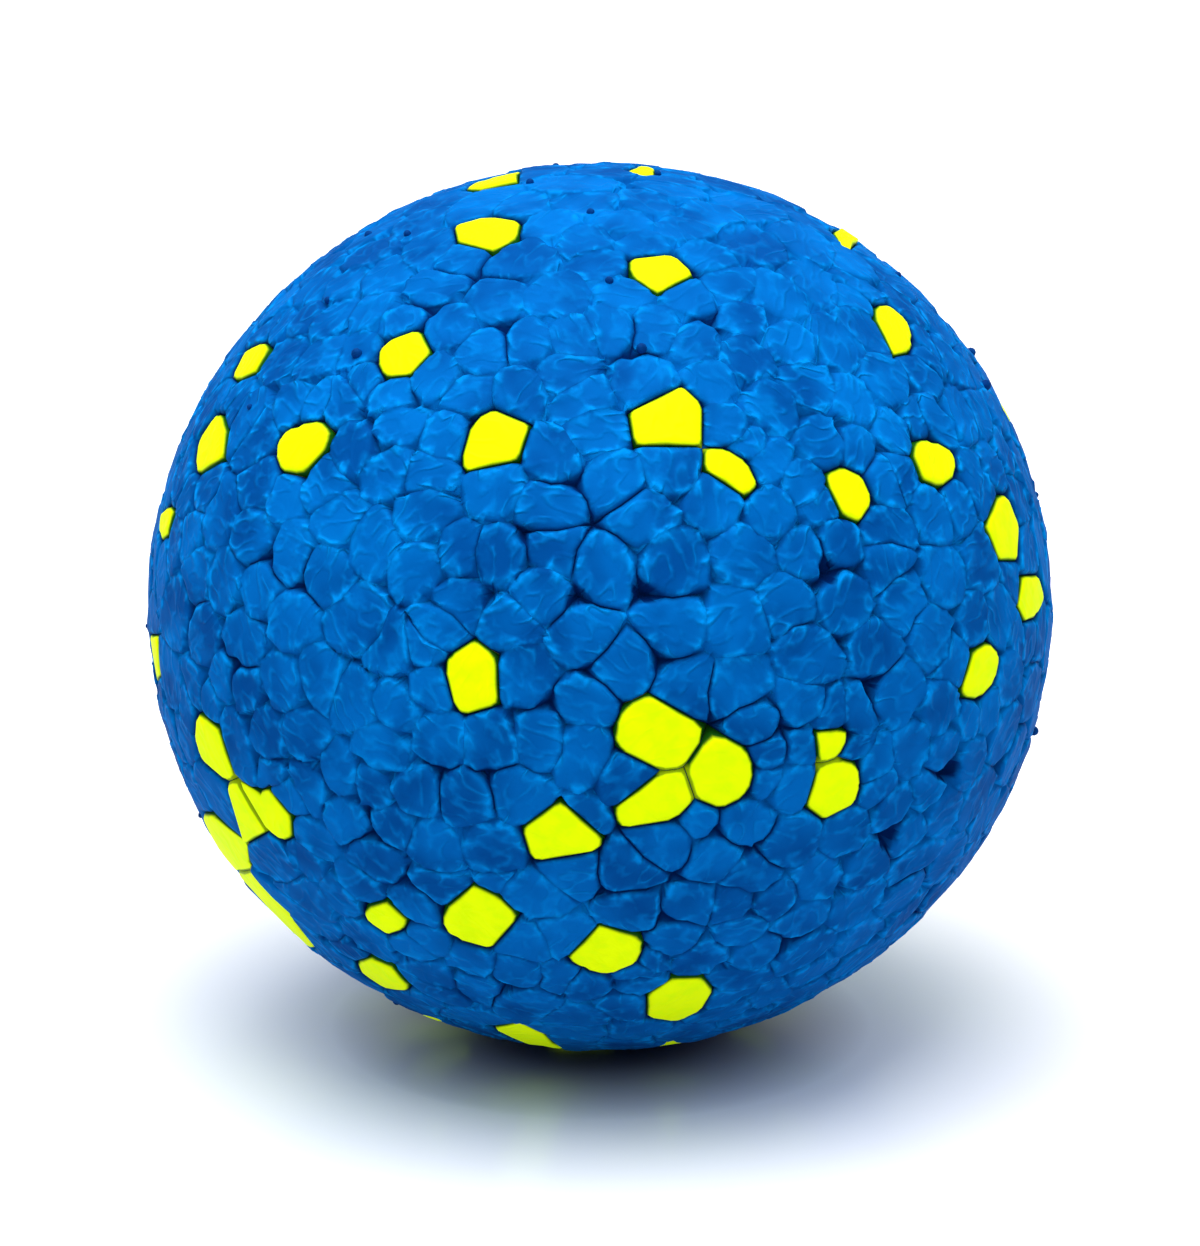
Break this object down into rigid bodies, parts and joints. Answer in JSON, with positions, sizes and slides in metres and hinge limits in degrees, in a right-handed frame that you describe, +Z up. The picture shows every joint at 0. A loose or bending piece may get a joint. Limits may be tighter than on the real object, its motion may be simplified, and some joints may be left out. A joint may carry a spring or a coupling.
{
  "type": "dog chew ball",
  "caption": "Springy foam ball for a dog to chew and fetch, steam moulded from fused deep blue beads with neon yellow beads scattered among them, solid all through.",
  "frame": {"origin": "centre of the ball", "axes": "+Z up along the moulding axis, which is the ball's slightly shorter way; the side that the picture shows faces -Y"},
  "size_m": [0.0648, 0.0649, 0.0636],
  "materials": {
    "blue_foam": "satin moulded bead foam skin, deep blue",
    "yellow_foam": "satin moulded bead foam skin, neon yellow"
  },
  "bodies": {
    "root": {"blue_bead_body": "blue_foam", "yellow_bead_01": "yellow_foam", "yellow_bead_02": "yellow_foam", "yellow_bead_03": "yellow_foam", "yellow_bead_04": "yellow_foam", "yellow_bead_05": "yellow_foam", "yellow_bead_06": "yellow_foam", "yellow_bead_07": "yellow_foam", "yellow_bead_08": "yellow_foam", "yellow_bead_09": "yellow_foam", "yellow_bead_10": "yellow_foam", "yellow_bead_11": "yellow_foam", "yellow_bead_12": "yellow_foam", "yellow_bead_13": "yellow_foam", "yellow_bead_14": "yellow_foam", "yellow_bead_15": "yellow_foam", "yellow_bead_16": "yellow_foam", "yellow_bead_17": "yellow_foam", "yellow_bead_18": "yellow_foam", "yellow_bead_19": "yellow_foam", "yellow_bead_20": "yellow_foam", "yellow_bead_21": "yellow_foam", "yellow_bead_22": "yellow_foam", "yellow_bead_23": "yellow_foam", "yellow_bead_24": "yellow_foam", "yellow_bead_25": "yellow_foam", "yellow_bead_26": "yellow_foam", "yellow_bead_27": "yellow_foam", "yellow_bead_28": "yellow_foam", "yellow_bead_29": "yellow_foam", "yellow_bead_30": "yellow_foam", "yellow_bead_31": "yellow_foam", "yellow_bead_32": "yellow_foam", "yellow_bead_33": "yellow_foam", "yellow_bead_34": "yellow_foam", "yellow_bead_35": "yellow_foam", "yellow_bead_36": "yellow_foam", "yellow_bead_37": "yellow_foam", "yellow_bead_38": "yellow_foam", "yellow_bead_39": "yellow_foam", "yellow_bead_40": "yellow_foam", "yellow_bead_41": "yellow_foam", "yellow_bead_42": "yellow_foam", "yellow_bead_43": "yellow_foam", "yellow_bead_44": "yellow_foam", "yellow_bead_45": "yellow_foam", "yellow_bead_46": "yellow_foam", "yellow_bead_47": "yellow_foam", "yellow_bead_48": "yellow_foam", "yellow_bead_49": "yellow_foam", "yellow_bead_50": "yellow_foam", "yellow_bead_51": "yellow_foam", "yellow_bead_52": "yellow_foam", "yellow_bead_53": "yellow_foam", "yellow_bead_54": "yellow_foam", "yellow_bead_55": "yellow_foam", "yellow_bead_56": "yellow_foam", "yellow_bead_57": "yellow_foam", "yellow_bead_58": "yellow_foam", "yellow_bead_59": "yellow_foam"}
  },
  "joints": []
}
